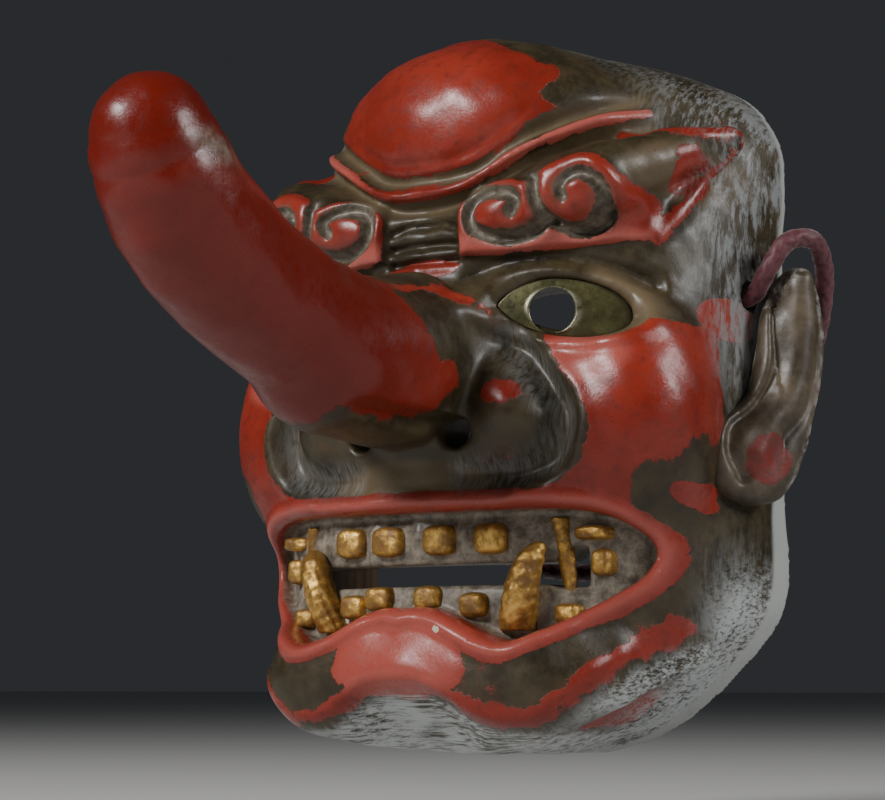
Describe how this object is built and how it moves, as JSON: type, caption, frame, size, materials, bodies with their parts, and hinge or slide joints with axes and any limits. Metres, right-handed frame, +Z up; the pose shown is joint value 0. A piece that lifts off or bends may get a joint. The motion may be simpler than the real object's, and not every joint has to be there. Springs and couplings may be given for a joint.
{
  "type": "long-nosed goblin mask",
  "caption": "Carved wood long-nosed goblin mask, worn red lacquer over brown, gilt teeth and pierced eyes, ears set at the sides, purple braided head cord.",
  "frame": {"origin": "middle of the plane of the flat back rim, where the wearer's brow or the display stand's rest meets the mask", "axes": "+X to the mask's own left, +Y out of the hollow towards the wearer, so the face looks along -Y, +Z up"},
  "size_m": [0.2266, 0.2631, 0.2499],
  "materials": {
    "face_lacquer": "worn red lacquer over brown, satin",
    "nose_lacquer": "polished red lacquer",
    "ear_lacquer": "worn brown lacquer",
    "bamboo": "plain",
    "eye_gilt": "dull greenish gilding",
    "tooth_gilt": "rubbed gilding",
    "cord_braid": "braided silk"
  },
  "bodies": {
    "root": {"mask_shell": "face_lacquer", "nose": "nose_lacquer", "nose_peg": "bamboo", "cord": "cord_braid", "upper_incisor_inner_left": "tooth_gilt", "upper_incisor_inner_right": "tooth_gilt", "upper_incisor_outer_left": "tooth_gilt", "upper_incisor_outer_right": "tooth_gilt", "upper_premolar_left": "tooth_gilt", "upper_premolar_right": "tooth_gilt", "corner_tooth_left": "tooth_gilt", "corner_tooth_right": "tooth_gilt", "lower_incisor_inner_left": "tooth_gilt", "lower_incisor_inner_right": "tooth_gilt", "lower_incisor_outer_left": "tooth_gilt", "lower_incisor_outer_right": "tooth_gilt", "lower_premolar_left": "tooth_gilt", "lower_premolar_right": "tooth_gilt", "lower_fang_left": "tooth_gilt", "lower_fang_right": "tooth_gilt", "upper_fang_left": "tooth_gilt", "upper_fang_right": "tooth_gilt", "ear_left": "ear_lacquer", "ear_right": "ear_lacquer", "ear_dowel_upper_left": "bamboo", "ear_dowel_upper_right": "bamboo", "ear_dowel_lower_left": "bamboo", "ear_dowel_lower_right": "bamboo", "eye_plate_left": "eye_gilt", "eye_plate_right": "eye_gilt", "cord_knot_left": "cord_braid", "cord_knot_right": "cord_braid"}
  },
  "joints": []
}
